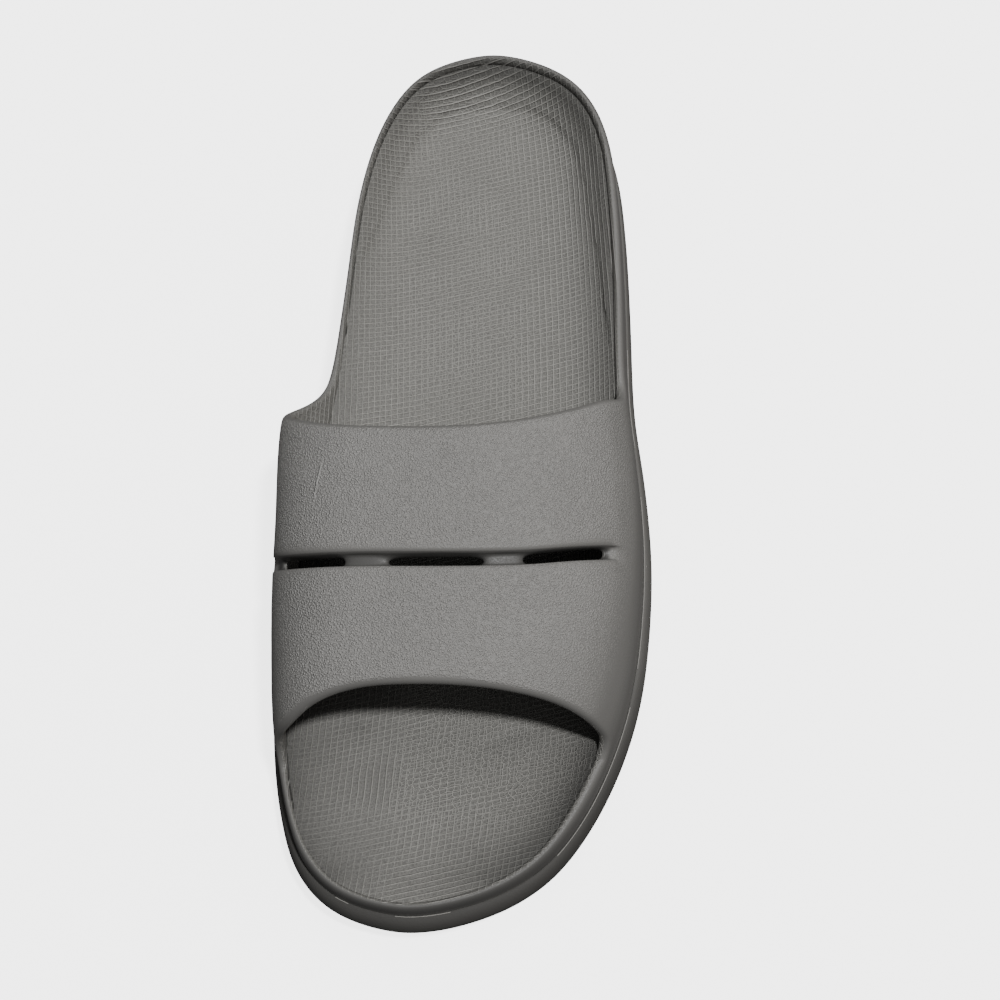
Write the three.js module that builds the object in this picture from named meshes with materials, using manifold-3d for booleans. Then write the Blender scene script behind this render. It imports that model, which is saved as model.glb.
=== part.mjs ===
// Slide sandal for the left foot, moulded in foam: an upper that is strap, rim and side wall in one,
// a cupped insole, and a flared sole with cut tread.
// Millimetres, +Z up. The toe points to -Y, the outer (lateral) side of the foot is +X.

import * as THREE from 'three';
import { mergeVertices } from 'three/addons/utils/BufferGeometryUtils.js';
import Module from 'manifold-3d';

const wasm = await Module();
wasm.setup();

// Driving sizes
const length = 286;
const ballWidth = 116;
const instepHeight = 73;
const heelHeight = 41;
const seatHeight = 27;
const jointHeight = 19;
const toeSpring = 9;
const clearance = 0.3;

// Upper
const strapWall = 5.2;
const rimWidth = 4;
const wallInset = 0.6;
const shoulderDrop = 2.8;
const grooveWidth = 4.4;
const grooveDepth = 2.4;
const slotWidth = 3.2;

// Insole
const insoleThickness = 3.2;
const insoleEdgeThickness = 1.8;
const heelRimLip = 2.2;
const toeRimLip = 1.2;
const cupWidth = 16;
const archRise = 5;

// Sole
const toeLedge = 3.6;
const bottomRound = 4;
const treadDepth = 2.4;
const treadWidth = 3;
const treadPitch = 15;
const treadMargin = 10;
const treadWave = 4;
const treadWaveLength = 48;

// Outline and heights along the foot, heel first. `at` is a share of the length, `medial` and
// `lateral` of the ball width, `rim` of the heel height, `seat` of the seat height, `joint` of
// the joint height and `lift` of the toe spring. Heights are measured from the lifted tread.
const sections = [
  { at: 0, medial: -0.02, lateral: 0.02, rim: 0.94, seat: 0.98, joint: 0.98, lift: 0.3 },
  { at: 0.025, medial: 0.184, lateral: 0.229, rim: 0.95, seat: 0.97, joint: 1, lift: 0.2 },
  { at: 0.06, medial: 0.262, lateral: 0.318, rim: 0.95, seat: 0.96, joint: 1, lift: 0.07 },
  { at: 0.11, medial: 0.315, lateral: 0.371, rim: 0.94, seat: 0.95, joint: 0.99, lift: 0 },
  { at: 0.19, medial: 0.353, lateral: 0.402, rim: 0.91, seat: 0.96, joint: 0.97, lift: 0 },
  { at: 0.3, medial: 0.367, lateral: 0.426, rim: 0.88, seat: 1, joint: 0.94, lift: 0.1 },
  { at: 0.41, medial: 0.387, lateral: 0.446, rim: 0.85, seat: 1, joint: 0.9, lift: 0.24 },
  { at: 0.5, medial: 0.427, lateral: 0.484, rim: 0.8, seat: 0.93, joint: 0.84, lift: 0.16 },
  { at: 0.58, medial: 0.466, lateral: 0.507, rim: 0.73, seat: 0.83, joint: 0.78, lift: 0 },
  { at: 0.66, medial: 0.487, lateral: 0.509, rim: 0.65, seat: 0.74, joint: 0.72, lift: 0 },
  { at: 0.74, medial: 0.486, lateral: 0.492, rim: 0.57, seat: 0.67, joint: 0.66, lift: 0.02 },
  { at: 0.81, medial: 0.47, lateral: 0.45, rim: 0.5, seat: 0.6, joint: 0.6, lift: 0.16 },
  { at: 0.88, medial: 0.434, lateral: 0.379, rim: 0.44, seat: 0.53, joint: 0.54, lift: 0.42 },
  { at: 0.94, medial: 0.376, lateral: 0.277, rim: 0.38, seat: 0.47, joint: 0.48, lift: 0.71 },
  { at: 0.98, medial: 0.275, lateral: 0.127, rim: 0.34, seat: 0.44, joint: 0.44, lift: 0.92 },
  { at: 1, medial: 0.079, lateral: -0.079, rim: 0.33, seat: 0.43, joint: 0.43, lift: 1 },
];

// Widths of the side seen from above, heel first. `ledge` is how far the joint lies inside the
// outline, a share of the ledge at the toe. `medial` and `lateral` are shares of the rim's width.
const sideWidths = [
  { at: 0, ledge: 0.3, medial: 0.95, lateral: 0.95 },
  { at: 0.06, ledge: 0.3, medial: 0.7, lateral: 0.9 },
  { at: 0.15, ledge: 0.28, medial: 0.56, lateral: 0.88 },
  { at: 0.3, ledge: 0.28, medial: 0.58, lateral: 0.88 },
  { at: 0.42, ledge: 0.36, medial: 0.85, lateral: 0.95 },
  { at: 0.55, ledge: 0.52, medial: 1.1, lateral: 1.05 },
  { at: 0.7, ledge: 0.6, medial: 1.05, lateral: 1.1 },
  { at: 0.8, ledge: 0.62, medial: 0.85, lateral: 1.1 },
  { at: 0.88, ledge: 0.62, medial: 0.74, lateral: 1.08 },
  { at: 0.94, ledge: 0.75, medial: 0.9, lateral: 0.95 },
  { at: 1, ledge: 1, medial: 0.85, lateral: 0.85 },
];

// Profile of the rim. `across` is a share of its width, `wall` of the way from its foot to the
// shoulders and `roll` of the way from the shoulders to its top.
const rimShape = [
  { across: 0, wall: 0, roll: 0 },
  { across: 0.08, wall: 0.5, roll: 0 },
  { across: 0.1, wall: 1, roll: 0 },
  { across: 0.24, wall: 1, roll: 0.75 },
  { across: 0.55, wall: 1, roll: 1 },
  { across: 0.85, wall: 1, roll: 0.75 },
  { across: 1, wall: 1, roll: 0 },
  { across: 1, wall: 0.5, roll: 0 },
  { across: 1, wall: 0, roll: 0 },
];

// Profile of the sole's side from the tread up to the joint. `round` and `ledge` are how far it
// lies inside the outline, shares of the bottom round and of the ledge, and `up` is the height.
const bandShape = [
  { round: 1, ledge: 0, up: 0 },
  { round: 0.42, ledge: 0, up: 0.05 },
  { round: 0.1, ledge: 0, up: 0.18 },
  { round: 0, ledge: 0, up: 0.52 },
  { round: 0, ledge: 0.42, up: 0.87 },
  { round: 0, ledge: 0.86, up: 0.97 },
  { round: 0, ledge: 1.08, up: 1 },
];

// Edges of the strap and the middle of its groove, from the medial foot over the instep to the
// lateral foot. `over` is a share of the way, the others are shares of the length from the heel.
const strapLines = [
  { over: 0, rear: 0.482, groove: 0.626, front: 0.812 },
  { over: 0.1, rear: 0.491, groove: 0.64, front: 0.812 },
  { over: 0.2, rear: 0.504, groove: 0.651, front: 0.807 },
  { over: 0.32, rear: 0.52, groove: 0.658, front: 0.79 },
  { over: 0.45, rear: 0.528, groove: 0.66, front: 0.776 },
  { over: 0.56, rear: 0.525, groove: 0.657, front: 0.771 },
  { over: 0.66, rear: 0.511, groove: 0.649, front: 0.772 },
  { over: 0.76, rear: 0.488, groove: 0.634, front: 0.777 },
  { over: 0.86, rear: 0.462, groove: 0.619, front: 0.786 },
  { over: 1, rear: 0.438, groove: 0.595, front: 0.797 },
];

// Radius with which the strap's edges run out into the rim
const footFillets = {
  medial: { rear: 25, front: 13 },
  lateral: { rear: 9, front: 8 },
};

// Last form under the strap. `crown` is a share of the instep height, `ridge` of the ball width,
// and `wing` is how far the medial wall leans out past its foot, of the ball width.
const lastForm = [
  { at: 0.4, crown: 1.01, ridge: -0.1, wing: 0.1 },
  { at: 0.5, crown: 0.985, ridge: -0.1, wing: 0.086 },
  { at: 0.6, crown: 0.94, ridge: -0.095, wing: 0.035 },
  { at: 0.7, crown: 0.87, ridge: -0.09, wing: 0.01 },
  { at: 0.8, crown: 0.785, ridge: -0.085, wing: 0 },
  { at: 0.87, crown: 0.7, ridge: -0.08, wing: 0 },
];

// Where the groove and the slots cut through it run, as shares of the way over the strap
const groove = { from: 0.08, to: 0.862 };
const slots = [
  { from: 0.16, to: 0.4 },
  { from: 0.483, to: 0.607 },
  { from: 0.668, to: 0.838 },
];

// Bluntness of the arch over the foot: 2 is an ellipse, more is squarer.
const medialBlunt = 2.7;
const lateralBlunt = 2.15;

// Steepness of the insole's turned-up edge, and place and reach of its raised arch
const cupCurl = 2.2;
const arch = { at: 0.42, reach: 0.14, inner: 0.08, outer: 0.36 };

// Counts and steps of the mesh. `crowding` draws the stations together at heel and toe.
const heelStations = 14;
const strapStations = 17;
const toeStations = 10;
const halfStations = heelStations + strapStations + toeStations;
const crowding = 1.18;
const footRows = 5;
const footSpan = 0.08;
const overStep = 0.036;
const acrossStations = 6;
const treadSteps = 10;
const rimRows = rimShape.length;
const outerShoulder = 2;
const innerShoulder = 6;
const cupRows = [0, 0.15, 0.38, 0.66, 1];

// Runs a smooth curve through one column of a table.
function along(rows, key, column, at) {
  const end = rows.length - 1;
  const clamped = Math.min(Math.max(at, rows[0][key]), rows[end][key]);
  let i = 0;
  while (i < end - 1 && rows[i + 1][key] < clamped) i += 1;
  const slope = (k) => {
    const before = rows[Math.max(k - 1, 0)];
    const after = rows[Math.min(k + 1, end)];
    return (after[column] - before[column]) / (after[key] - before[key]);
  };
  const span = rows[i + 1][key] - rows[i][key];
  const f = (clamped - rows[i][key]) / span;
  const rise = f * f * (3 - 2 * f);
  const pull = f * (1 - f) * (1 - f) * slope(i) - f * f * (1 - f) * slope(i + 1);
  return rows[i][column] + (rows[i + 1][column] - rows[i][column]) * rise + pull * span;
}

const section = (column, at) => along(sections, 'at', column, at);
const shareAt = (y) => 0.5 - y / length;
const yAt = (at) => (0.5 - at) * length;
const lerp = THREE.MathUtils.lerp;
const smoothstep = THREE.MathUtils.smoothstep;

// Heights of the side, above the floor
const liftAt = (at) => Math.max(section('lift', at), 0) * toeSpring;
const jointAt = (at) => liftAt(at) + section('joint', at) * jointHeight;
const rimAt = (at) => liftAt(at) + section('rim', at) * heelHeight;
const seatAt = (at) => liftAt(at) + section('seat', at) * seatHeight;
const rimLipAt = (at) => lerp(heelRimLip, toeRimLip, smoothstep(at, 0.3, 0.9));
const ledgeAt = (at) => along(sideWidths, 'at', 'ledge', at) * toeLedge;

// The outline runs from the heel down the medial side to the toe and back up the lateral side.
const medialPoint = (row) => new THREE.Vector3(-row.medial * ballWidth, yAt(row.at), 0);
const lateralPoint = (row) => new THREE.Vector3(row.lateral * ballWidth, yAt(row.at), 0);
const outline = new THREE.CatmullRomCurve3(
  [...sections.map(medialPoint), ...sections.slice(1, -1).map(lateralPoint).reverse()],
  true,
  'centripetal',
);
outline.arcLengthDivisions = 1200;

// Finds where the outline passes a height of the page, searching between two of its shares.
function shareOfOutline(y, low, high) {
  let a = low;
  let b = high;
  const rising = outline.getPointAt(b).y > outline.getPointAt(a).y;
  for (let i = 0; i < 40; i += 1) {
    const middle = (a + b) / 2;
    const above = outline.getPointAt(middle).y > y;
    if (above === rising) b = middle;
    else a = middle;
  }
  return (a + b) / 2;
}

// Share of the outline at which the toe tip lies, found in small steps about its middle
function shareOfToe() {
  let best = 0.5;
  for (let share = 0.4; share < 0.6; share += 0.0005) {
    if (outline.getPointAt(share).y < outline.getPointAt(best).y) best = share;
  }
  return best;
}

const toeShare = shareOfToe();
const nearHeel = 0.01;

function shareOnSide(y, side) {
  if (side === 'medial') return shareOfOutline(y, nearHeel, toeShare);
  return shareOfOutline(y, toeShare, 1 - nearHeel);
}

// Share of the outline where an edge of the strap, with its fillet, reaches the rim
function strapFoot(edge, side) {
  const row = side === 'medial' ? strapLines[0] : strapLines[strapLines.length - 1];
  const fillet = footFillets[side][edge];
  return shareOnSide(yAt(row[edge]) + (edge === 'rear' ? fillet : -fillet), side);
}

// Shares of one side of the outline, from the heel to the toe: heel, strap and toe stretches
function sideShares(side) {
  const heel = side === 'medial' ? 0 : 1;
  const rear = strapFoot('rear', side);
  const front = strapFoot('front', side);
  const shares = [];
  for (let i = 0; i < heelStations; i += 1) {
    shares.push(lerp(heel, rear, (i / heelStations) ** crowding));
  }
  for (let i = 0; i < strapStations; i += 1) shares.push(lerp(front, rear, 1 - i / strapStations));
  for (let i = 0; i <= toeStations; i += 1) {
    shares.push(lerp(toeShare, front, (1 - i / toeStations) ** crowding));
  }
  return shares;
}

// Stations round the outline, down the medial side and back up the lateral side
const medialShares = sideShares('medial');
const lateralShares = sideShares('lateral').slice(1, -1).reverse();
const stations = [...medialShares, ...lateralShares].map((share, p) => {
  const point = outline.getPointAt(share);
  const tangent = outline.getTangentAt(share);
  const at = shareAt(point.y);
  const ledge = ledgeAt(at);
  const width = along(sideWidths, 'at', p <= halfStations ? 'medial' : 'lateral', at) * rimWidth;
  return {
    point,
    inward: new THREE.Vector2(-tangent.y, tangent.x),
    at,
    ledge,
    width,
    outerWall: ledge + wallInset,
    insoleEdge: ledge + wallInset + width + clearance,
  };
});
const around = stations.length;

// A point set in from the outline at one station
function inset(station, distance, z) {
  return new THREE.Vector3(
    station.point.x + station.inward.x * distance,
    station.point.y + station.inward.y * distance,
    z,
  );
}

// Collects corners and faces of one closed body, four corners to a face where it can.
class Skin {
  constructor() {
    this.corners = [];
    this.faces = [];
  }

  add(point) {
    this.corners.push(point);
    return this.corners.length - 1;
  }

  quad(a, b, c, d) {
    if (a !== b && b !== c && c !== a) this.faces.push([a, b, c]);
    if (a !== c && c !== d && d !== a) this.faces.push([a, c, d]);
  }

  geometry() {
    const geometry = new THREE.BufferGeometry();
    const positions = this.corners.flatMap((corner) => [corner.x, corner.y, corner.z]);
    geometry.setAttribute('position', new THREE.Float32BufferAttribute(positions, 3));
    geometry.setIndex(this.faces.flat());
    return geometry;
  }
}

// Closes the inside of a ring of stations with rows that run straight across the foot. `height`
// gives the surface, `up` says which way it faces.
function closeAcross(skin, ring, height, up) {
  const face = (a, b, c, d) => (up ? skin.quad(a, b, c, d) : skin.quad(d, c, b, a));
  let before = Array(acrossStations + 1).fill(ring[0]);
  for (let i = 1; i <= halfStations; i += 1) {
    const medial = skin.corners[ring[i]];
    const lateral = skin.corners[ring[(around - i) % around]];
    const row = [ring[i]];
    for (let j = 1; j < acrossStations; j += 1) {
      const point = medial.clone().lerp(lateral, j / acrossStations);
      point.z = height(point.x, point.y, j / acrossStations, medial, lateral);
      row.push(i === halfStations ? ring[i] : skin.add(point));
    }
    row.push(ring[(around - i) % around]);
    for (let j = 0; j < acrossStations; j += 1) face(before[j], row[j], row[j + 1], before[j + 1]);
    before = row;
  }
}

// Joins rings of stations, each the next one round the profile.
function joinRings(skin, rings) {
  for (let k = 0; k + 1 < rings.length; k += 1) {
    for (let p = 0; p < around; p += 1) {
      const next = (p + 1) % around;
      skin.quad(rings[k][p], rings[k][next], rings[k + 1][next], rings[k + 1][p]);
    }
  }
}

// UPPER
// The wall stands on the sole's ledge. Its profile goes from the outer foot up the wall, over the
// rolled rim and down the inside. Over the ball of the foot it opens and runs on as the strap.
function rimPoint(station, { across, wall, roll }) {
  const foot = jointAt(station.at) + clearance;
  const shoulder = rimAt(station.at) - shoulderDrop;
  const z = lerp(foot, shoulder, wall) + roll * shoulderDrop;
  return inset(station, station.outerWall + across * station.width, z);
}

const firstStrap = heelStations;
const lastStrap = heelStations + strapStations;
const stationOf = (side, i) => (side === 'medial' ? i : (around - i) % around);

function underStrap(p) {
  const i = p < halfStations ? p : around - 1 - p;
  return i >= firstStrap && i < lastStrap;
}

function buildUpper() {
  const skin = new Skin();
  const rings = rimShape.map((row) => stations.map((station) => skin.add(rimPoint(station, row))));
  for (let k = 0; k < rimRows; k += 1) {
    const up = (k + 1) % rimRows;
    for (let p = 0; p < around; p += 1) {
      const next = (p + 1) % around;
      const open = k >= outerShoulder && k < innerShoulder && underStrap(p);
      if (!open) skin.quad(rings[k][p], rings[k][next], rings[up][next], rings[up][p]);
    }
  }
  addStrap(skin, rings);
  return skin.geometry();
}

// Place of a ring on one side of the foot, where it passes a given y
function ringAt(skin, ring, side, y) {
  for (let i = 0; i < halfStations; i += 1) {
    const a = skin.corners[ring[stationOf(side, i)]];
    const b = skin.corners[ring[stationOf(side, i + 1)]];
    if (y <= a.y && y >= b.y) return a.clone().lerp(b, (a.y - y) / (a.y - b.y));
  }
  return skin.corners[ring[0]].clone();
}

const power = (value, exponent) => Math.sign(value) * Math.abs(value) ** exponent;
const riseAt = (over) => power(
  Math.sin(Math.PI * over),
  2 / (over < 0.5 ? medialBlunt : lateralBlunt),
);

// The arch over the foot at one y, between the two walls. `over` runs from the medial foot (0)
// over the ridge to the lateral foot (1).
function archPoint(medial, lateral, y, over, drop) {
  const at = shareAt(y);
  const crown = along(lastForm, 'at', 'crown', at) * instepHeight - drop;
  const ridge = along(lastForm, 'at', 'ridge', at) * ballWidth;
  const wing = along(lastForm, 'at', 'wing', at) * ballWidth;
  const onMedial = over < 0.5;
  const foot = onMedial ? medial : lateral;
  const reach = Math.abs(power(
    Math.cos(Math.PI * over),
    2 / (onMedial ? medialBlunt : lateralBlunt),
  ));
  const rise = riseAt(over);
  const lean = onMedial ? wing * smoothstep(rise, 0, 0.55) * reach : 0;
  return new THREE.Vector3(lerp(ridge, foot.x, reach) - lean, y, lerp(foot.z, crown, rise));
}

// Rows over the strap: close together at its feet, and stopping at each end of slot and groove
function overRows() {
  const stops = [groove.from, ...slots.flatMap((slot) => [slot.from, slot.to]), groove.to];
  const feet = [];
  for (let k = 0; k < footRows; k += 1) feet.push(footSpan * (k / footRows) ** 2);
  const rows = [...feet, stops[0]];
  for (let i = 0; i + 1 < stops.length; i += 1) {
    const count = Math.max(1, Math.round((stops[i + 1] - stops[i]) / overStep));
    for (let k = 1; k <= count; k += 1) rows.push(lerp(stops[i], stops[i + 1], k / count));
  }
  return [...rows, 1 - footSpan, ...feet.reverse().map((over) => 1 - over)];
}

// An edge of the strap at one row: its sweep over the foot and its fillet into the rim
function edgeAt(edge, over) {
  const side = over < 0.5 ? 'medial' : 'lateral';
  const fillet = footFillets[side][edge];
  const height = riseAt(over) * (instepHeight - heelHeight);
  const run = fillet - height;
  const reach = run > 0 ? fillet - Math.sqrt(fillet * fillet - run * run) : 0;
  const y = yAt(along(strapLines, 'over', edge, over));
  return edge === 'rear' ? y + reach : y - reach;
}

// Columns of the strap at one row, rear edge first. They start as the rim's stations and spread
// to even steps with four lines that border the groove.
const grooveColumn = Math.round(strapStations / 2) - 1;

function strapColumns(over) {
  const side = over < 0.5 ? 'medial' : 'lateral';
  const rear = edgeAt('rear', over);
  const front = edgeAt('front', over);
  const middle = yAt(along(strapLines, 'over', 'groove', over));
  const lines = [grooveWidth, slotWidth, -slotWidth, -grooveWidth].map((w) => middle + w / 2);
  const columns = [];
  for (let j = 0; j < grooveColumn; j += 1) columns.push(lerp(rear, lines[0], j / grooveColumn));
  columns.push(...lines);
  const rest = strapStations - grooveColumn - 3;
  for (let j = 1; j <= rest; j += 1) columns.push(lerp(lines[3], front, j / rest));
  const footY = (j) => stations[stationOf(side, firstStrap + j)].point.y;
  const settle = smoothstep(Math.min(over, 1 - over), 0, 1.5 * footSpan);
  return columns.map((column, j) => {
    const share = (footY(j) - footY(0)) / (footY(strapStations) - footY(0));
    return lerp(lerp(rear, front, share), column, settle);
  });
}

// One surface of the strap, outer or inner, as rows of columns between its two feet
function strapSurface(skin, rings, rows, ringRow, drop) {
  return rows.map((over, r) => {
    if (r === 0 || r === rows.length - 1) {
      const side = r === 0 ? 'medial' : 'lateral';
      return Array.from({ length: strapStations + 1 }, (_, j) => (
        skin.corners[rings[ringRow][stationOf(side, firstStrap + j)]].clone()
      ));
    }
    return strapColumns(over).map((y) => archPoint(
      ringAt(skin, rings[ringRow], 'medial', y),
      ringAt(skin, rings[ringRow], 'lateral', y),
      y,
      over,
      drop,
    ));
  });
}

function addStrap(skin, rings) {
  const rows = overRows();
  const outer = strapSurface(skin, rings, rows, outerShoulder, 0);
  const inner = strapSurface(skin, rings, rows, innerShoulder, strapWall);
  const bottom = [grooveColumn + 1, grooveColumn + 2];
  rows.forEach((over, r) => {
    if (over <= groove.from || over >= groove.to) return;
    for (const j of bottom) {
      const inwards = inner[r][j].clone().sub(outer[r][j]).normalize();
      outer[r][j].addScaledVector(inwards, grooveDepth);
    }
  });
  const loops = rows.map((over, r) => {
    if (r === 0) return footLoop(rings, 'medial');
    if (r === rows.length - 1) return footLoop(rings, 'lateral');
    return bandLoop(outer, inner, r).map((point) => skin.add(point));
  });
  joinLoops(skin, rows, loops);
}

// Corners round the strap where it grows out of the rim on one side
function footLoop(rings, side) {
  const loop = [];
  const first = stationOf(side, firstStrap);
  const final = stationOf(side, lastStrap);
  for (let i = firstStrap; i <= lastStrap; i += 1) loop.push(rings[outerShoulder][stationOf(side, i)]);
  for (let k = outerShoulder + 1; k < innerShoulder; k += 1) loop.push(rings[k][final]);
  for (let i = lastStrap; i >= firstStrap; i -= 1) loop.push(rings[innerShoulder][stationOf(side, i)]);
  for (let k = innerShoulder - 1; k > outerShoulder; k -= 1) loop.push(rings[k][first]);
  return loop;
}

// Corners of the rolled edge at one end of a row, from the outer to the inner surface
function rollEdge(outer, inner, r, j) {
  const thickness = outer[r][j].clone().sub(inner[r][j]);
  const middle = outer[r][j].clone().lerp(inner[r][j], 0.5);
  const tangent = outer[r + 1][j].clone().sub(outer[r - 1][j]);
  const edge = tangent.cross(thickness).normalize();
  if (j === 0) edge.negate();
  return [0.25, 0.5, 0.75].map((share) => middle.clone()
    .addScaledVector(thickness, Math.cos(Math.PI * share) / 2)
    .addScaledVector(edge, (Math.sin(Math.PI * share) * thickness.length()) / 2));
}

// Corners round the strap at one row, with a rolled edge in front and behind
function bandLoop(outer, inner, r) {
  return [
    ...outer[r],
    ...rollEdge(outer, inner, r, strapStations),
    ...inner[r].slice().reverse(),
    ...rollEdge(outer, inner, r, 0).reverse(),
  ];
}

// Joins the rows of the strap, leaving the slots open and walling them round
function joinLoops(skin, rows, loops) {
  const size = loops[0].length;
  const slotOuter = grooveColumn + 1;
  const slotInner = 2 * strapStations + 3 - slotOuter;
  const open = (r) => {
    const middle = (rows[r] + rows[r + 1]) / 2;
    return slots.some((slot) => middle > slot.from && middle < slot.to);
  };
  for (let r = 0; r + 1 < rows.length; r += 1) {
    const low = loops[r];
    const high = loops[r + 1];
    for (let c = 0; c < size; c += 1) {
      const next = (c + 1) % size;
      const hole = open(r) && (c === slotOuter || c === slotInner);
      if (!hole) skin.quad(low[c], low[next], high[next], high[c]);
    }
    if (!open(r)) continue;
    const [a, b, c, d] = [slotOuter, slotOuter + 1, slotInner, slotInner + 1];
    skin.quad(low[d], high[d], high[a], low[a]);
    skin.quad(high[c], low[c], low[b], high[b]);
    if (!open(r - 1)) skin.quad(low[c], low[d], low[a], low[b]);
    if (!open(r + 1)) skin.quad(high[d], high[c], high[b], high[a]);
  }
}

// INSOLE
// A cupped footbed: nearly flat in the middle, turned up along its edge inside the rim.
function seatSurface(x, y) {
  const at = shareAt(y);
  const bell = Math.exp(-(((at - arch.at) / arch.reach) ** 2));
  const medial = smoothstep(-x / ballWidth, arch.inner, arch.outer);
  return seatAt(at) + archRise * bell * medial;
}

// Rings under the insole's top, from the edge inwards. The depth below it is measured square to
// its slope: `edge` along the edge and `middle` from there on inwards.
function cupRings(skin, edge, middle) {
  return cupRows.map((share) => stations.map((station) => {
    const point = inset(station, station.insoleEdge + share * cupWidth, 0);
    const rise = rimAt(station.at) - rimLipAt(station.at) - seatSurface(point.x, point.y);
    const slope = (cupCurl * rise * (1 - share) ** (cupCurl - 1)) / cupWidth;
    const depth = lerp(edge, middle, share) * Math.hypot(1, slope);
    point.z = seatSurface(point.x, point.y) + rise * (1 - share) ** cupCurl - depth;
    return skin.add(point);
  }));
}

function buildInsole() {
  const skin = new Skin();
  const top = cupRings(skin, 0, 0);
  const under = cupRings(skin, insoleEdgeThickness, insoleThickness);
  joinRings(skin, [...under.slice().reverse(), ...top]);
  closeAcross(skin, top.at(-1), (x, y) => seatSurface(x, y), true);
  closeAcross(skin, under.at(-1), (x, y) => seatSurface(x, y) - insoleThickness, false);
  return skin.geometry();
}

// SOLE
// A flared band shows below the joint. Its ledge carries the upper, and its core rises inside the
// wall to carry the insole.
function bandPoint(station, { round, ledge, up }) {
  const z = lerp(liftAt(station.at), jointAt(station.at), up);
  return inset(station, round * bottomRound + ledge * station.ledge, z);
}

function buildSoleBody() {
  const skin = new Skin();
  const band = bandShape.map((row) => stations.map((station) => skin.add(bandPoint(station, row))));
  const ledge = stations.map((station) => (
    skin.add(inset(station, station.insoleEdge, jointAt(station.at)))
  ));
  const depth = insoleThickness + clearance;
  const core = cupRings(skin, insoleEdgeThickness + clearance, depth);
  joinRings(skin, [...band, ledge, ...core]);
  closeAcross(skin, core.at(-1), (x, y) => seatSurface(x, y) - depth, true);
  closeAcross(skin, band[0], (x, y) => liftAt(shareAt(y)), false);
  return skin.geometry();
}

// Solid for cutting and joining, with corners in the same place made one
function solid(geometry) {
  const bare = geometry.clone();
  bare.deleteAttribute('normal');
  bare.deleteAttribute('uv');
  const merged = mergeVertices(bare, 1e-4);
  return new wasm.Manifold(new wasm.Mesh({
    numProp: 3,
    vertProperties: merged.attributes.position.array,
    triVerts: new Uint32Array(merged.index.array),
  }));
}

function fromSolid(body) {
  const mesh = body.getMesh();
  const geometry = new THREE.BufferGeometry();
  geometry.setAttribute('position', new THREE.Float32BufferAttribute(mesh.vertProperties, 3));
  geometry.setIndex(new THREE.Uint32BufferAttribute(mesh.triVerts, 1));
  return geometry;
}

// One waved tread groove across the sole at a given y, between its two margins
function treadCutter(y) {
  const from = outline.getPointAt(shareOnSide(y, 'medial')).x + treadMargin;
  const to = outline.getPointAt(shareOnSide(y, 'lateral')).x - treadMargin;
  const wave = (x) => y + treadWave * Math.cos((2 * Math.PI * x) / treadWaveLength);
  const points = [];
  for (let i = 0; i <= treadSteps; i += 1) {
    const x = lerp(from, to, i / treadSteps);
    points.push(new THREE.Vector2(x, wave(x) - treadWidth / 2));
  }
  for (let i = treadSteps; i >= 0; i -= 1) {
    const x = lerp(from, to, i / treadSteps);
    points.push(new THREE.Vector2(x, wave(x) + treadWidth / 2));
  }
  const cutter = new THREE.ExtrudeGeometry(new THREE.Shape(points), {
    depth: 2 * treadDepth,
    bevelEnabled: false,
  });
  cutter.translate(0, 0, liftAt(shareAt(y)) - treadDepth);
  return cutter;
}

function buildSole() {
  let body = solid(buildSoleBody());
  const reach = length / 2 - treadPitch;
  const count = Math.floor((2 * reach) / treadPitch);
  for (let i = 0; i <= count; i += 1) {
    const y = lerp(reach, -reach, i / count);
    body = body.subtract(solid(treadCutter(y)));
  }
  return fromSolid(body);
}

const pieces = [
  { name: 'upper', geometry: buildUpper(), color: 0x7d7b78, roughness: 0.62 },
  { name: 'insole', geometry: buildInsole(), color: 0x787570, roughness: 0.72 },
  { name: 'sole', geometry: buildSole(), color: 0x5f5c58, roughness: 0.68 },
];

const object = new THREE.Group();
for (const { name, geometry, color, roughness } of pieces) {
  const material = new THREE.MeshStandardMaterial({ color, roughness, metalness: 0 });
  const mesh = new THREE.Mesh(geometry, material);
  mesh.name = name;
  object.add(mesh);
}

// The origin is the middle of the whole, on the floor.
const whole = new THREE.Box3().setFromObject(object);
const middle = whole.getCenter(new THREE.Vector3());
for (const { geometry } of pieces) geometry.translate(-middle.x, -middle.y, -whole.min.z);

export default object;
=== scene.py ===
import math
import random

import bmesh
import bpy
import numpy as np
from mathutils import Matrix, Vector
from mathutils.kdtree import KDTree


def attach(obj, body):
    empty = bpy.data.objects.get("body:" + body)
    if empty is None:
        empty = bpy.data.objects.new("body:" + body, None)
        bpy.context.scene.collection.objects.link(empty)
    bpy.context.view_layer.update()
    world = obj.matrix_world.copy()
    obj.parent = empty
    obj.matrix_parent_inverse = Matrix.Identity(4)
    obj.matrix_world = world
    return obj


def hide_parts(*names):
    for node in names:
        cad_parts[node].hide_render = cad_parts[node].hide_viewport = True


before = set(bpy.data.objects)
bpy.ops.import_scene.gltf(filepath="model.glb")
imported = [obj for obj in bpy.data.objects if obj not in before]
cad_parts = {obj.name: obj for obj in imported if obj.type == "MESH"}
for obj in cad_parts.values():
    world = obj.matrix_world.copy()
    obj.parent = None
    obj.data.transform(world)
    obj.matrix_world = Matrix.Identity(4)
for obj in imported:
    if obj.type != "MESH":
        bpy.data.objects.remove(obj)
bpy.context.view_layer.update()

# CAMERA
# The photo looks down on the slide, a little from the toe and from the outer side, and the toe
# points down the picture. The tilts, the roll and the lens are those that the outline fits.
toe_tilt = math.radians(22)
side_tilt = math.radians(7)
roll = math.radians(4)
aim = Vector((-0.00125, -0.009, 0.025))
aim_pixel = (462, 494.5)
picture = 1000
eye_distance = 0.7
pixels_per_metre = 3235
sensor = 36

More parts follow.
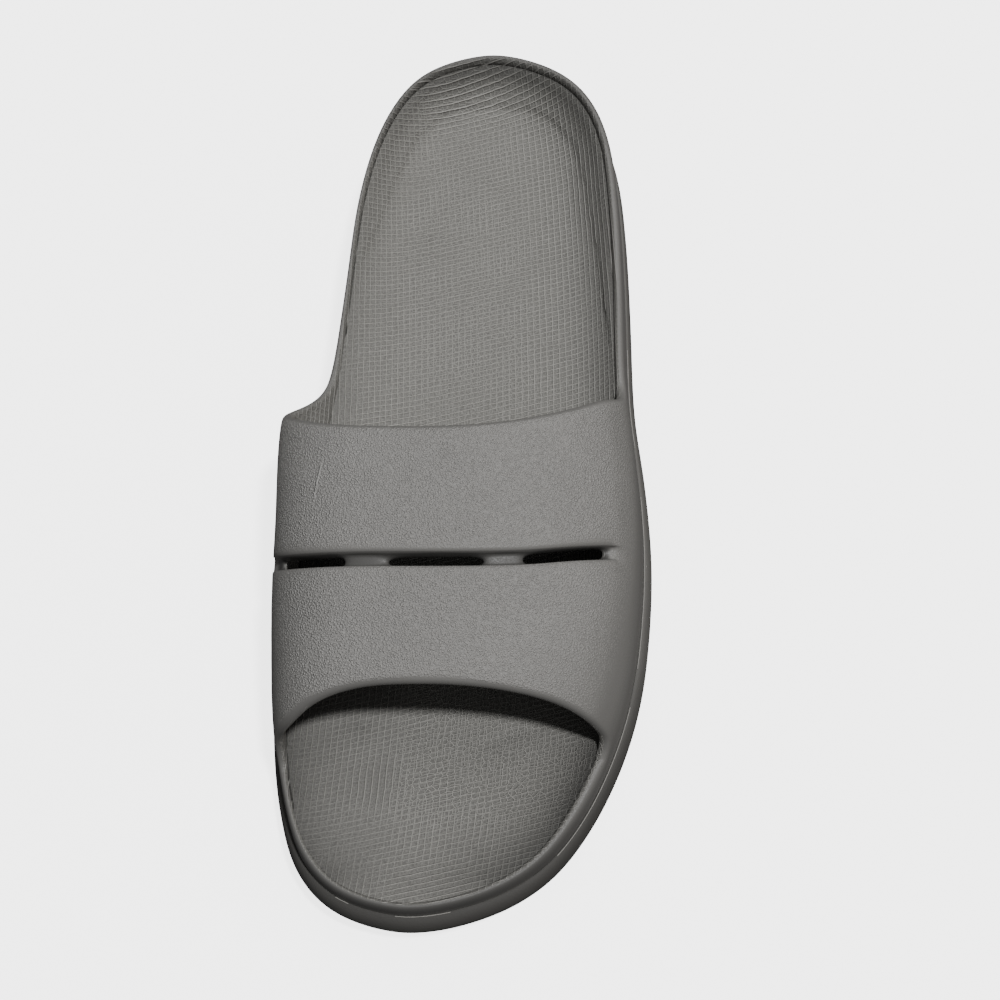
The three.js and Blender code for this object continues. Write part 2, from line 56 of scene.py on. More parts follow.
back = Vector((math.tan(side_tilt), -math.tan(toe_tilt), 1)).normalized()
upright = (Vector((0, 1, 0)) - back * back.y).normalized()
across = upright.cross(back)
camera_up = upright * math.cos(roll) - across * math.sin(roll)
camera_right = camera_up.cross(back)
bpy.ops.object.camera_add()
camera = bpy.context.active_object
camera.matrix_world = Matrix.Translation(aim + back * eye_distance) @ Matrix(
    (camera_right, camera_up, back)
).transposed().to_4x4()
camera.data.sensor_width = sensor
camera.data.lens = sensor * pixels_per_metre * eye_distance / picture
camera.data.shift_x = 0.5 - aim_pixel[0] / picture
camera.data.shift_y = aim_pixel[1] / picture - 0.5
bpy.context.scene.camera = camera

# STUDIO
# A bright paper floor under a far overhead lamp, which stands a little to the outer side and to
# the toe, and draws the strap's shadow. A wide near lamp and a weak warm one soften the rest.
paper_tone = (0.86, 0.86, 0.86, 1)
paper_glow = 3.2
backdrop_glow = 3.8
stage_size = 9
key_lean = Vector((0.3, -0.075, 1))
key_strength = 3.3
key_spread = math.radians(5)
soft_lamp = {"at": (0.1, 0.6, 1.6), "size": 0.9, "watts": 6, "colour": (1, 1, 1)}
side_lamp = {"at": (1.4, 0.25, 0.7), "size": 0.8, "watts": 3, "colour": (1, 0.9, 0.79)}
room_light = 0.15


def paper(name, glow):
    """Matt white paper with a glow of its own, as on a light table."""
    sheet = bpy.data.materials.new(name)
    sheet.use_nodes = True
    shader = sheet.node_tree.nodes["Principled BSDF"]
    shader.inputs["Base Color"].default_value = paper_tone
    shader.inputs["Roughness"].default_value = 0.9
    shader.inputs["Emission Color"].default_value = (1, 1, 1, 1)
    shader.inputs["Emission Strength"].default_value = glow
    return sheet


bpy.ops.object.select_all(action="DESELECT")
bpy.ops.mesh.primitive_plane_add(size=stage_size)
floor = bpy.context.active_object
floor.name = "studio_floor"
floor.data.materials.append(paper("floor_paper", paper_glow))
bpy.ops.object.select_all(action="DESELECT")
bpy.ops.mesh.primitive_uv_sphere_add(radius=stage_size / 2)
backdrop = bpy.context.active_object
backdrop.name = "studio_backdrop"
backdrop.data.materials.append(paper("backdrop_paper", backdrop_glow))
backdrop.visible_shadow = False
for sheet in (floor, backdrop):
    sheet.visible_diffuse = False
    sheet.visible_glossy = False

bpy.ops.object.light_add(type="SUN", location=key_lean)
key_light = bpy.context.active_object
key_light.data.energy = key_strength
key_light.data.angle = key_spread
key_light.rotation_mode = "QUATERNION"
key_light.rotation_quaternion = key_lean.to_track_quat("Z", "Y")

for lamp in (soft_lamp, side_lamp):
    bpy.ops.object.light_add(type="AREA", location=lamp["at"])
    light = bpy.context.active_object
    light.data.size = lamp["size"]
    light.data.energy = lamp["watts"]
    light.data.color = lamp["colour"]
    light.rotation_mode = "QUATERNION"
    light.rotation_quaternion = Vector(lamp["at"]).to_track_quat("Z", "Y")

room = bpy.data.worlds.new("room")
room.use_nodes = True
room.node_tree.nodes["Background"].inputs["Color"].default_value = (1, 1, 1, 1)
room.node_tree.nodes["Background"].inputs["Strength"].default_value = room_light
bpy.context.scene.world = room

# SOLE
# One block of smooth grey foam with a flared band round its side and waved tread cut in its
# underside. It comes out of the mould with soft edges and a faint mottling.
sole_grey = (0.09, 0.0875, 0.083)
weld = 1e-5
flat_enough = math.radians(60)
crisp_angle = math.radians(58)
shading_angle = math.radians(50)


def moulded_copy(node_name, piece_name):
    """A welded copy of a CAD node, in four-sided faces where its triangles pair up."""
    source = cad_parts[node_name]
    piece = bpy.data.objects.new(piece_name, source.data.copy())
    bpy.context.scene.collection.objects.link(piece)
    piece.data.materials.clear()
    bpy.ops.object.select_all(action="DESELECT")
    bpy.context.view_layer.objects.active = piece
    piece.select_set(True)
    bpy.ops.object.mode_set(mode="EDIT")
    bpy.ops.mesh.select_all(action="SELECT")
    bpy.ops.mesh.remove_doubles(threshold=weld)
    bpy.ops.mesh.tris_convert_to_quads(face_threshold=flat_enough, shape_threshold=flat_enough)
    bpy.ops.object.mode_set(mode="OBJECT")
    return piece


def crease_edges(piece, crispness):
    """Keeps edges crisp where the piece is smoothed, as far as `crispness` says for each."""
    shape = bmesh.new()
    shape.from_mesh(piece.data)
    layer = shape.edges.layers.float.new("crease_edge")
    for edge in shape.edges:
        if len(edge.link_faces) == 2:
            edge[layer] = crispness(edge)
    shape.to_mesh(piece.data)
    shape.free()


def smooth_foam(piece, levels):
    """Rounds a moulded piece with a subdivision surface and shades it smooth."""
    smoothing = piece.modifiers.new("moulded form", "SUBSURF")
    smoothing.levels = levels
    smoothing.render_levels = levels
    bpy.context.view_layer.objects.active = piece
    bpy.ops.object.modifier_apply(modifier=smoothing.name)
    bpy.ops.object.select_all(action="DESELECT")
    piece.select_set(True)
    bpy.ops.object.shade_smooth_by_angle(angle=shading_angle)


class Finish:
    """A material under construction: adds nodes and links them by plain words."""

    def __init__(self, name, specular):
        self.material = bpy.data.materials.new(name)
        self.material.use_nodes = True
        self.nodes = self.material.node_tree.nodes
        self.shader = self.nodes["Principled BSDF"]
        self.shader.inputs["Specular IOR Level"].default_value = specular
        self.place = self.nodes.new("ShaderNodeTexCoord").outputs["Object"]

    def link(self, value, socket):
        if isinstance(value, bpy.types.NodeSocket):
            self.material.node_tree.links.new(value, socket)
        else:
            socket.default_value = value

    def math(self, operation, *values):
        made = self.nodes.new("ShaderNodeMath")
        made.operation = operation
        for socket, value in zip(made.inputs, values):
            self.link(value, socket)
        return made.outputs[0]

    def noise(self, per_metre, detail=2.0):
        made = self.nodes.new("ShaderNodeTexNoise")
        made.inputs["Scale"].default_value = per_metre
        made.inputs["Detail"].default_value = detail
        self.link(self.place, made.inputs["Vector"])
        return made.outputs["Fac"]

    def span(self, value, low, high, to_low=0.0, to_high=1.0):
        made = self.nodes.new("ShaderNodeMapRange")
        made.interpolation_type = "SMOOTHSTEP"
        for name, given in (
            ("Value", value),
            ("From Min", low),
            ("From Max", high),
            ("To Min", to_low),
            ("To Max", to_high),
        ):
            self.link(given, made.inputs[name])
        return made.outputs[0]

    def blend(self, share, first, second):
        made = self.nodes.new("ShaderNodeMix")
        made.data_type = "RGBA"
        self.link(share, made.inputs[0])
        for socket, colour in ((made.inputs[6], first), (made.inputs[7], second)):
            self.link(colour if isinstance(colour, bpy.types.NodeSocket) else (*colour, 1), socket)
        return made.outputs[2]

    def mark(self, name):
        made = self.nodes.new("ShaderNodeAttribute")
        made.attribute_name = name
        return made.outputs["Fac"]

    def lit(self, colour, factor):
        made = self.nodes.new("ShaderNodeVectorMath")
        made.operation = "SCALE"
        self.link(colour, made.inputs[0])
        self.link(factor, made.inputs["Scale"])
        return made.outputs[0]

    def along_foot(self):
        made = self.nodes.new("ShaderNodeSeparateXYZ")
        self.link(self.place, made.inputs[0])
        return made.outputs["Y"]

    def relief(self, height, depth, under=None):
        made = self.nodes.new("ShaderNodeBump")
        made.inputs["Distance"].default_value = depth
        self.link(height, made.inputs["Height"])
        if under:
            self.link(under, made.inputs["Normal"])
        return made.outputs["Normal"]

    def done(self, colour, roughness, normal):
        self.link(colour, self.shader.inputs["Base Color"])
        self.link(roughness, self.shader.inputs["Roughness"])
        self.link(normal, self.shader.inputs["Normal"])
        return self.material


def shade(colour, factor):
    return tuple(channel * factor for channel in colour)


sole = moulded_copy("sole", "sole_foam")
crease_edges(sole, lambda edge: float(edge.calc_face_angle() > crisp_angle))
smooth_foam(sole, 2)

sole_finish = Finish("smooth_sole_foam", 0.2)
mottle = sole_finish.noise(55, 4)
skin = sole_finish.noise(1400, 3)
# Painted shade: the sole's colour is darkened towards the toe, where its band faces away from the
# lamps, and lightened behind it.
painted_shade_to_toe = sole_finish.span(sole_finish.along_foot(), -0.11, -0.03, 0.6, 1.2)
sole.data.materials.append(
    sole_finish.done(
        sole_finish.lit(
            sole_finish.blend(mottle, shade(sole_grey, 0.9), shade(sole_grey, 1.1)), painted_shade_to_toe
        ),
        sole_finish.span(mottle, 0.3, 0.7, 0.66, 0.78),
        sole_finish.relief(skin, 0.00008),
    )
)
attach(sole, "root")
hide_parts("sole")

# INSOLE
# The footbed is a thin cupped pad of the same foam, pressed tight against the rim. Raised lines
# cross it in two directions, with small sunken cells between them. The long ones follow the foot
# and the others slant up to the outer side, and each stands out more in its own places.
insole_grey = (0.178, 0.1745, 0.163)
joint_lap = 0.0007
upright_edge = 0.6
upright_slope = 0.3
long_pitch = 0.002
cross_pitch = 0.00168
cross_slant = math.radians(15.5)
axis_bend = -0.41
axis_lean = -0.04
heel_centre = 0.085
toe_centre = -0.095
wall_stretch = 0.55
end_stretch = 0.25
slice_width = 0.004
# Soft troughs and ridges on the footbed, painted darker in the troughs as painted shade and lighter
# on the ridges as painted highlight, and two flat patches painted lighter, in metres and degrees.
footbed_marks = (
    # x, y, turn, half length, half width, rise, lighter by
    (0.0135, -0.0868, 19, 0.013, 0.0013, -0.00035, -0.12),
    (0.0095, -0.0905, 19, 0.012, 0.0012, -0.0003, -0.09),
    (0.0205, -0.0835, 21, 0.009, 0.0012, -0.00025, -0.09),
    (0.011, -0.0886, 19, 0.012, 0.0012, 0.0003, 0.07),
    (-0.0292, -0.0822, 8, 0.0042, 0.0016, -0.0003, -0.2),
    (-0.026, -0.0895, 14, 0.012, 0.0035, 0.0002, 0.07),
    (0.0, 0.127, 4, 0.019, 0.0055, 0, 0.16),
    (0.002, 0.07, 84, 0.04, 0.012, 0, 0.03),
)
# Painted shade beside the rim: how much darker the footbed is painted there, at places along the
# foot.
beside_rim = (
    # y, inner side, outer side, reach
    (-0.135, 0.45, 0.5, 0.01),
    (-0.1, 0.55, 0.75, 0.01),
    (-0.06, 0.5, 0.5, 0.01),
    (-0.03, 0.22, 0.3, 0.008),
    (0.06, 0.22, 0.32, 0.007),
    (0.11, 0.3, 0.35, 0.006),
    (0.135, 0.55, 0.6, 0.0035),
)
wall_steepness = 0.93
# Painted shade over the toe, which the strap keeps from the wide lamp.
toe_darker = 0.1
# Painted shade on the footbed hidden under the strap, seen through its slots.
hidden_darker = 0.6

insole = moulded_copy("insole", "insole_footbed")


def insole_crispness(edge):
    """Full where the top meets the pad's upright edge, so that no crack opens to the rim."""
    upright = any(abs(face.normal.z) < upright_slope for face in edge.link_faces)
    rising = any(face.normal.z > upright_slope for face in edge.link_faces)
    return float(upright and rising)


crease_edges(insole, insole_crispness)
smooth_foam(insole, 2)


def read(items, name, width):
    """One property of all vertices, edges or corners of a mesh, as rows of numbers."""
    values = np.empty(len(items) * width)
    items.foreach_get(name, values)
    return values.reshape(-1, width)


def press_outwards(piece):
    """Widens the pad's upright edge until it touches the rim."""
    mesh = piece.data
    place = read(mesh.vertices, "co", 3)
    outward = read(mesh.vertices, "normal", 3)[:, :2]
    steepness = np.linalg.norm(outward, axis=1)
    edge = steepness > upright_edge
    place[edge, :2] += joint_lap * outward[edge] / steepness[edge, None]
    mesh.vertices.foreach_set("co", place.ravel())
    mesh.update()


def lowest_along(piece):
    """The lowest height of the footbed in each slice across the foot."""
    place = read(piece.data.vertices, "co", 3)
    on_top = read(piece.data.vertices, "normal", 3)[:, 2] > 0.5
    slices = np.round(place[:, 1] / slice_width).astype(int)
    keys = np.unique(slices[on_top])
    return keys, [place[on_top & (slices == key), 2].min() for key in keys]


def foot_axis(y):
    return axis_bend * y * y + axis_lean * y


def from_axis(place):
    """How far each point lies to the side of the foot's axis and beyond its two ends."""
    along = np.clip(place[:, 1], toe_centre, heel_centre)
    return place[:, 0] - foot_axis(along), place[:, 1] - along


def lay_lines(piece):
    """Lays a UV map whose units are the pitches of the raised lines, and that climbs the walls."""
    mesh = piece.data
    place = read(mesh.vertices, "co", 3)
    x, y, z = place.T
    raised = np.maximum(z - np.interp(y / slice_width, *footbed_heights), 0)
    side, end = from_axis(place)
    sideways = side ** 2 / (side ** 2 + end ** 2 + 1e-9)
    aside = x - foot_axis(y)
    long_way = aside + np.sign(aside) * wall_stretch * raised * sideways
    cross_way = y * math.cos(cross_slant) - x * math.sin(cross_slant)
    cross_way = cross_way + np.sign(y) * end_stretch * raised * (1 - sideways)
    corners = read(mesh.loops, "vertex_index", 1)[:, 0].astype(int)
    lines = np.stack([long_way / long_pitch, cross_way / cross_pitch], 1)[corners]
    mesh.uv_layers.new(name="raised_lines").data.foreach_set("uv", lines.ravel())


def raised_net(finish):
    """The crossed lines as nodes: the height of the net, and its tone, with the lines painted lighter
    as painted highlight and the cells darker as painted shade, over a random crumb.
    """
    line_map = finish.nodes.new("ShaderNodeUVMap")
    line_map.uv_map = "raised_lines"
    ways = finish.nodes.new("ShaderNodeSeparateXYZ")
    finish.link(line_map.outputs["UV"], ways.inputs[0])
    along = finish.along_foot()
    sway = finish.math("MULTIPLY", finish.math("SUBTRACT", finish.noise(260, 2), 0.5), 0.3)

    def line(way, width):
        shifted = finish.math("FRACT", finish.math("ADD", way, sway))
        off = finish.math("ABSOLUTE", finish.math("SUBTRACT", shifted, 0.5))
        return finish.span(off, 0.0, width, 1.0, 0.0)

    cell = finish.nodes.new("ShaderNodeTexVoronoi")
    cell.voronoi_dimensions = "2D"
    cell.feature = "DISTANCE_TO_EDGE"
    cell.inputs["Scale"].default_value = 1.0
    cell.inputs["Randomness"].default_value = 0.6
    finish.link(line_map.outputs["UV"], cell.inputs["Vector"])
    cell_edge = finish.span(cell.outputs["Distance"], 0.02, 0.13, 1.0, 0.0)

    medial = finish.math("MULTIPLY", ways.outputs["X"], -1.0)
    aside = finish.math("ABSOLUTE", ways.outputs["X"])
    at_side = finish.span(aside, 6.0, 14.0)
    on_wall = finish.span(aside, 16.0, 20.0)
    at_heel = finish.span(along, 0.0, 0.035)
    at_toe = finish.span(along, -0.07, -0.05, 1.0, 0.0)
    at_front = finish.span(along, -0.118, -0.1, 1.0, 0.0)
    toe_medial = finish.math("MULTIPLY", at_toe, finish.span(medial, 3.0, 12.0))
    toe_middle = finish.math("MULTIPLY", at_toe, finish.span(medial, 5.0, 10.0, 1.0, 0.0))
    toe_middle = finish.math("MULTIPLY", toe_middle, finish.math("SUBTRACT", 1.0, at_front))
    patch = finish.span(finish.noise(42, 2), 0.35, 0.65, -0.25, 0.25)
    heel_middle = finish.math("MULTIPLY", at_heel, finish.math("SUBTRACT", 1.0, at_side))
    weak_long = finish.math("MAXIMUM", heel_middle, toe_middle)
    weak_long = finish.math("MAXIMUM", weak_long, finish.math("MULTIPLY", at_front, 0.8))
    long_share = finish.math("SUBTRACT", 0.8, finish.math("MULTIPLY", weak_long, 0.6))
    long_share = finish.math("ADD", long_share, patch)
    weak_cross = finish.math("MAXIMUM", toe_medial, finish.math("MULTIPLY", toe_middle, 0.5))
    weak_cross = finish.math("MAXIMUM", weak_cross, on_wall)
    cross_share = finish.math("SUBTRACT", 0.85, finish.math("MULTIPLY", weak_cross, 0.65))
    cross_share = finish.math("SUBTRACT", cross_share, patch)
    cell_share = finish.math("ADD", 0.12, finish.math("MULTIPLY", toe_middle, 0.7))
    cell_share = finish.math("ADD", cell_share, finish.math("MULTIPLY", heel_middle, 0.25))
    net = finish.math(
        "MAXIMUM",
        finish.math("MULTIPLY", line(ways.outputs["X"], 0.17), long_share),
        finish.math("MULTIPLY", line(ways.outputs["Y"], 0.19), cross_share),
    )
    net = finish.math("MAXIMUM", net, finish.math("MULTIPLY", cell_edge, cell_share))
    crumb = finish.noise(1900, 3)
    height = finish.math("ADD", net, finish.math("MULTIPLY", crumb, 0.5))
    # Painted highlight on the lines and painted shade in the cells, with a random crumb.
    tone = finish.math("ADD", finish.math("MULTIPLY", net, 0.72), finish.math("MULTIPLY", crumb, 0.6))
    return height, tone


def shape_and_shade(piece, marks):
    """Moves the footbed's top by each mark and stores the painted shade and painted highlight for the
    foam.
    """
    mesh = piece.data
    place = read(mesh.vertices, "co", 3)
    normal = read(mesh.vertices, "normal", 3)
    steepness = np.linalg.norm(normal[:, :2], axis=1)
    raised = place[:, 2] - np.interp(place[:, 1] / slice_width, *footbed_heights)
    upright = place[(steepness > wall_steepness) & (raised > 0.0008)]
    rim_points = KDTree(len(upright))
    for index, point in enumerate(upright):
        rim_points.insert((point[0], point[1], 0), index)
    rim_points.balance()
    off_rim = np.array([rim_points.find((point[0], point[1], 0))[2] for point in place])
    stations, inner, outer, reach = np.array(beside_rim).T
    x, y, _ = place.T
    share = np.where(
        x < foot_axis(y), np.interp(y, stations, inner), np.interp(y, stations, outer)
    )
    # Painted shade where the footbed meets the rim's walls.
    light = 1 - share * np.exp(-off_rim / np.interp(y, stations, reach))
    # Painted shade over the toe.
    light *= 1 - toe_darker * np.clip((-0.06 - y) / 0.03, 0, 1)
    # Painted shade under the strap.
    hidden = np.clip((y + 0.068) / 0.01, 0, 1) * np.clip((0.004 - y) / 0.01, 0, 1)
    light *= 1 - hidden_darker * hidden
    for at_x, at_y, turn, half_length, half_width, rise, lighter in marks:
        cos, sin = math.cos(math.radians(turn)), math.sin(math.radians(turn))
        ahead = (x - at_x) * cos + (y - at_y) * sin
        beside = (y - at_y) * cos - (x - at_x) * sin
        weight = np.exp(-((ahead / half_length) ** 2) - (beside / half_width) ** 2)
        place[:, 2] += rise * weight * (normal[:, 2] > 0.5)
        # Painted shade in the troughs, painted highlight on the ridges, and the flat patches painted
        # lighter.
        light *= 1 + lighter * weight
    mesh.vertices.foreach_set("co", place.ravel())
    mesh.attributes.new("light", "FLOAT", "POINT").data.foreach_set("value", light)
    mesh.update()


footbed_heights = lowest_along(insole)
shape_and_shade(insole, footbed_marks)
press_outwards(insole)
lay_lines(insole)

footbed = Finish("textured_footbed_foam", 0.4)
net_height, net_painted_light_and_crumb = raised_net(footbed)
insole.data.materials.append(
    footbed.done(
        footbed.lit(
            # Lit and shaded copies of the footbed grey carry the net's painted highlight and shade.
            footbed.blend(net_painted_light_and_crumb, shade(insole_grey, 0.3), shade(insole_grey, 1.85)),
            footbed.mark("light"),
        ),
        footbed.span(net_painted_light_and_crumb, 0.2, 0.8, 0.75, 0.6),
        footbed.relief(net_height, 0.0003),
    )
)
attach(insole, "root")
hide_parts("insole")

# UPPER
# Strap, rim and side wall are moulded as one piece of foam. The strap has a fine pebbled grain
# that fades out towards its rolled edges. The rim is smooth, and the footbed's lines run on up
# the inside of the walls.
strap_grey = (0.235, 0.23, 0.221)
rim_grey = (0.13, 0.127, 0.121)
foot_level = 0.021
groove_rear = -0.02
groove_front = -0.053
groove_crispness = 0.7
groove_angle = math.radians(25)
strap_centre = Vector((0, -0.036, 0.02))
# The grain, and with it the strap's lighter grey, fades in with height, so the strap's lower sides
# take the rim's darker grey: partly the smooth moulded finish and partly painted shade.
grain_from = 0.034
grain_full = 0.056
sunken_from = 0.0005
sunken_full = 0.0016
face_bins = np.radians(np.arange(-75, 76, 6))
ridge_from = Vector((-0.0379, -0.0145))
ridge_to = Vector((-0.0403, -0.029))
ridge_width = 0.0005
lines_end = 0.056
lines_full = 0.044
rolled_slope = 0.55
inner_side = 0.2
edge_rounds = 7
wall_rounds = 2

upper = moulded_copy("upper", "upper_foam")


def borders_foot(edge):
    """Whether an edge borders the flat face on which the upper stands."""
    facing_down = [
        face.normal.z < -0.9 and face.calc_center_median().z < foot_level
        for face in edge.link_faces
    ]
    return any(facing_down) and not all(facing_down)


def upper_crispness(edge):
    middle = (edge.verts[0].co + edge.verts[1].co) / 2
    in_groove = groove_front < middle.y < groove_rear and middle.z > grain_from
    lengthwise = abs((edge.verts[0].co - edge.verts[1].co).normalized().y) > 0.7
    outwards = (middle - strap_centre).normalized()
    on_outside = any(face.normal.dot(outwards) > 0.6 for face in edge.link_faces)
    bent = edge.calc_face_angle() > groove_angle
    if in_groove and on_outside and bent and not lengthwise:
        return groove_crispness
    return float(borders_foot(edge))


def mark_joint(piece):
    """Marks the outer edge of the foot as a seam, which the smoothing carries along."""
    shape = bmesh.new()
    shape.from_mesh(piece.data)
    loose = {edge for edge in shape.edges if borders_foot(edge)}
    loops = []
    while loose:
        loop, ahead = set(), [loose.pop()]
        while ahead:
            edge = ahead.pop()
            loop.add(edge)
            beside = {other for vert in edge.verts for other in vert.link_edges} & loose
            loose -= beside
            ahead.extend(beside)
        loops.append(loop)
    for edge in max(loops, key=lambda loop: sum(edge.calc_length() for edge in loop)):
        edge.seam = True
    shape.to_mesh(piece.data)
    shape.free()


def spread(values, ends, rounds):
    """Softens a mark over a mesh by averaging it with its neighbours."""
    valence = np.bincount(ends.ravel(), minlength=len(values))
    for _ in range(rounds):
        total = np.bincount(ends[:, 0], values[ends[:, 1]], len(values))
        total += np.bincount(ends[:, 1], values[ends[:, 0]], len(values))
        values = 0.5 * values + 0.5 * total / valence
    return values


def below_face(place, normal):
    """How far the groove's floor and walls lie below the strap's outer face, from 0 to 1."""
    across = place[:, [0, 2]] - np.array([strap_centre.x, strap_centre.z])
    out = np.hypot(*across.T)
    turn = np.arctan2(*across.T)
    outwards = (normal[:, [0, 2]] * across).sum(1) / out
    faces = []
    for y in (groove_front, groove_rear):
        beside = (np.abs(place[:, 1] - y) < 0.003) & (outwards > 0.8) & (place[:, 2] > 0.03)
        order = np.argsort(turn[beside])
        faces.append(np.interp(face_bins, turn[beside][order], out[beside][order]))
    share = np.clip((place[:, 1] - groove_front) / (groove_rear - groove_front), 0, 1)
    front, rear = (np.interp(turn, face_bins, face) for face in faces)
    depth = front + (rear - front) * share - out
    in_groove = (share > 0) & (share < 1) & (outwards > -0.5) & (place[:, 2] > 0.03)
    return np.clip((depth - sunken_from) / (sunken_full - sunken_from), 0, 1) * in_groove


def mark_finishes(piece):
    """Stores where the strap's grain is and where the footbed's lines climb the walls."""
    mesh = piece.data
    normal = read(mesh.vertices, "normal", 3)
    place = read(mesh.vertices, "co", 3)
    ends = read(mesh.edges, "vertices", 2).astype(int)
    rolled = spread((np.abs(normal[:, 1]) > rolled_slope).astype(float), ends, edge_rounds)
    risen = np.clip((place[:, 2] - grain_from) / (grain_full - grain_from), 0, 1)
    grain = risen * np.clip(1 - 2.2 * rolled, 0, 1)
    side, end = from_axis(place)
    inward = -(normal[:, 0] * side + normal[:, 1] * end) / np.hypot(side, end)
    inner = spread((inward > inner_side).astype(float), ends, wall_rounds)
    low = np.clip((lines_end - place[:, 2]) / (lines_end - lines_full), 0, 1)
    mesh.attributes.new("grain", "FLOAT", "POINT").data.foreach_set("value", grain)
    lined = np.clip(1.6 * inner - 0.6, 0, 1) * low
    mesh.attributes.new("lined", "FLOAT", "POINT").data.foreach_set("value", lined)
    sunken = below_face(place, normal)
    mesh.attributes.new("sunken", "FLOAT", "POINT").data.foreach_set("value", sunken)


crease_edges(upper, upper_crispness)
mark_joint(upper)
smooth_foam(upper, 2)
mark_finishes(upper)
lay_lines(upper)

strap_finish = Finish("grained_strap_foam", 0.5)
sunken = strap_finish.mark("sunken")
proud = strap_finish.math("SUBTRACT", 1.0, sunken)
grain = strap_finish.math("MULTIPLY", strap_finish.mark("grain"), proud)
lined = strap_finish.mark("lined")
mottle = strap_finish.noise(40, 3)
pebble = strap_finish.nodes.new("ShaderNodeTexVoronoi")
pebble.inputs["Scale"].default_value = 1650
strap_finish.link(strap_finish.place, pebble.inputs["Vector"])
pebble_top = strap_finish.span(pebble.outputs["Distance"], 0.1, 0.65, 1.0, 0.0)
fine = strap_finish.noise(2400, 2)
speckle = strap_finish.span(fine, 0.33, 0.67)
pebbles = strap_finish.math("MULTIPLY", strap_finish.math("ADD", pebble_top, fine), grain)

# A thin raised crease in the strap near its inner side.
place = strap_finish.nodes.new("ShaderNodeSeparateXYZ")
strap_finish.link(strap_finish.place, place.inputs[0])
ridge_middle = (ridge_from + ridge_to) / 2
ridge_way = (ridge_to - ridge_from).normalized()


def strap_distance(way):
    """How far a point of the strap lies from the crease's middle in a given direction."""
    return strap_finish.math(
        "ABSOLUTE",
        strap_finish.math(
            "ADD",
            strap_finish.math("MULTIPLY", place.outputs["X"], way.x),
            strap_finish.math(
                "SUBTRACT",
                strap_finish.math("MULTIPLY", place.outputs["Y"], way.y),
                way.dot(ridge_middle),
            ),
        ),
    )


half_ridge = (ridge_to - ridge_from).length / 2
ridge = strap_finish.math(
    "MULTIPLY",
    strap_finish.span(strap_distance(ridge_way), half_ridge * 0.5, half_ridge, 1.0, 0.0),
    strap_finish.span(strap_distance(ridge_way.orthogonal()), 0.0, ridge_width, 1.0, 0.0),
)
ridge = strap_finish.math("MULTIPLY", ridge, grain)
grained = strap_finish.math("ADD", pebbles, ridge)
wall_height, wall_painted_light_and_crumb = raised_net(strap_finish)
lined_height = strap_finish.math("MULTIPLY", wall_height, lined)
# Painted highlight on the pebble tops and on the crease, with random mottle and a speckle that is
# partly the foam's own fleck and partly painted glint, spread between darker and lighter copies of
# the strap grey.
strap_tone = strap_finish.math(
    "ADD",
    strap_finish.math(
        "ADD",
        strap_finish.math("MULTIPLY", mottle, 0.2),
        strap_finish.math("MULTIPLY", ridge, 0.3),
    ),
    strap_finish.math(
        "ADD",
        strap_finish.math("MULTIPLY", speckle, 0.3),
        strap_finish.math("MULTIPLY", pebble_top, 0.45),
    ),
)
# Painted shade: the rim is painted darker towards both ends of the foot.
at_ends = strap_finish.span(
    strap_finish.math("ABSOLUTE", strap_finish.along_foot()), 0.075, 0.13, 1.0, 0.58
)
outside = strap_finish.blend(
    grain,
    strap_finish.lit(
        strap_finish.blend(mottle, shade(rim_grey, 0.93), shade(rim_grey, 1.07)),
        # Painted shade in the groove, where its floor lies below the strap's face.
        strap_finish.math(
            "MULTIPLY", at_ends, strap_finish.span(sunken, 0.1, 1.0, 1.0, 0.4)
        ),
    ),
    strap_finish.blend(strap_tone, shade(strap_grey, 0.5), shade(strap_grey, 1.57)),
)
# The walls carry the net's painted highlight and shade, and painted shade that darkens them towards
# the heel.
inside = strap_finish.lit(
    strap_finish.blend(wall_painted_light_and_crumb, shade(insole_grey, 0.3), shade(insole_grey, 1.85)),
    strap_finish.span(strap_finish.along_foot(), 0.09, 0.13, 0.85, 0.55),
)
upper.data.materials.append(
    strap_finish.done(
        strap_finish.blend(lined, outside, inside),
        strap_finish.span(fine, 0.3, 0.7, 0.48, 0.66),
        strap_finish.relief(grained, 0.00028, strap_finish.relief(lined_height, 0.0003)),
    )
)
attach(upper, "root")
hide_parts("upper")

# PARTING FLASH
# Where the halves of the mould met, a hair-thin fin of foam stands along the joint between side
# wall and band. It catches the light and is torn away here and there.
# The fin's grey is lighter than the foam it tears from: painted highlight along the joint.
fin_grey = (0.27, 0.262, 0.246)
fin_radius = 0.00014
fin_out = 0.0003
fin_drop = 0.00025
torn_share = 0.4
longest_run = 18

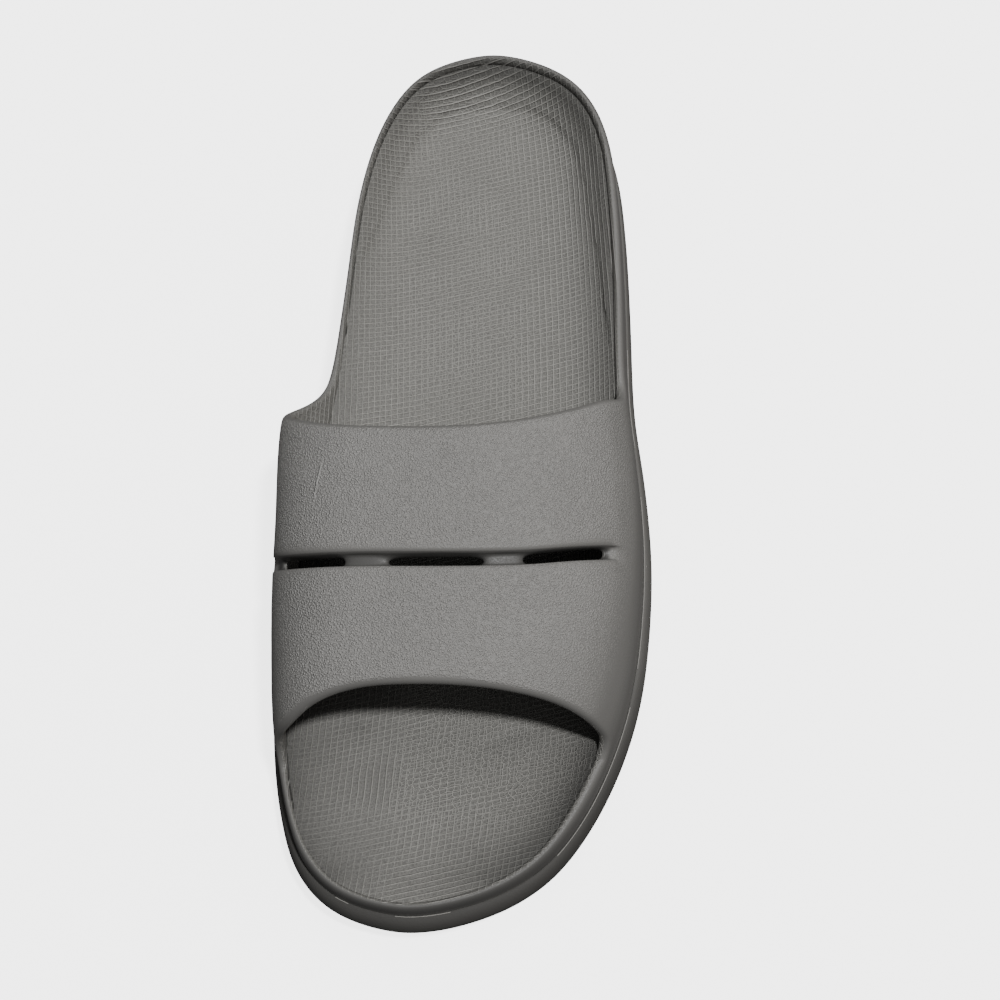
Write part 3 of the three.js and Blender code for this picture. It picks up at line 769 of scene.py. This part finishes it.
fin = bpy.data.objects.new("parting_flash", upper.data.copy())
bpy.context.scene.collection.objects.link(fin)
fin.data.materials.clear()
shape = bmesh.new()
shape.from_mesh(fin.data)
shape.normal_update()
keep = {vert for edge in shape.edges if edge.seam for vert in edge.verts}
outward = {vert: Vector((vert.normal.x, vert.normal.y, 0)).normalized() for vert in keep}
bmesh.ops.delete(shape, geom=[vert for vert in shape.verts if vert not in keep], context="VERTS")
bmesh.ops.delete(shape, geom=list(shape.faces), context="FACES_ONLY")
bmesh.ops.delete(shape, geom=[edge for edge in shape.edges if not edge.seam], context="EDGES")
for vert in shape.verts:
    vert.co += outward[vert] * fin_out
    vert.co.z -= fin_drop

chance = random.Random(5)
round_the_joint = []
vert = min(shape.verts, key=lambda vert: vert.co.y)
edge = vert.link_edges[0]
while edge not in round_the_joint:
    round_the_joint.append(edge)
    vert = edge.other_vert(vert)
    edge = next(other for other in vert.link_edges if other is not edge)
torn = []
done = 0
while done < len(round_the_joint):
    run = chance.randint(2, longest_run)
    if chance.random() < torn_share:
        torn.extend(round_the_joint[done:done + run])
    done += run
bmesh.ops.delete(shape, geom=torn, context="EDGES")
bmesh.ops.delete(
    shape, geom=[vert for vert in shape.verts if not vert.link_edges], context="VERTS"
)
shape.to_mesh(fin.data)
shape.free()

bpy.ops.object.select_all(action="DESELECT")
bpy.context.view_layer.objects.active = fin
fin.select_set(True)
bpy.ops.object.convert(target="CURVE")
fin.data.bevel_depth = fin_radius
fin.data.bevel_resolution = 1
fin.data.use_fill_caps = True
bpy.ops.object.convert(target="MESH")
bpy.ops.object.shade_smooth()
fin = bpy.context.active_object

fin_finish = Finish("torn_foam_fin", 0.5)
fin_tone = fin_finish.noise(400, 2)
fin.data.materials.clear()
fin.data.materials.append(
    fin_finish.done(
        fin_finish.blend(fin_tone, shade(fin_grey, 0.6), shade(fin_grey, 1.2)),
        fin_finish.span(fin_tone, 0.3, 0.7, 0.45, 0.65),
        fin_finish.relief(fin_finish.noise(3000, 2), 0.00005),
    )
)
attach(fin, "root")
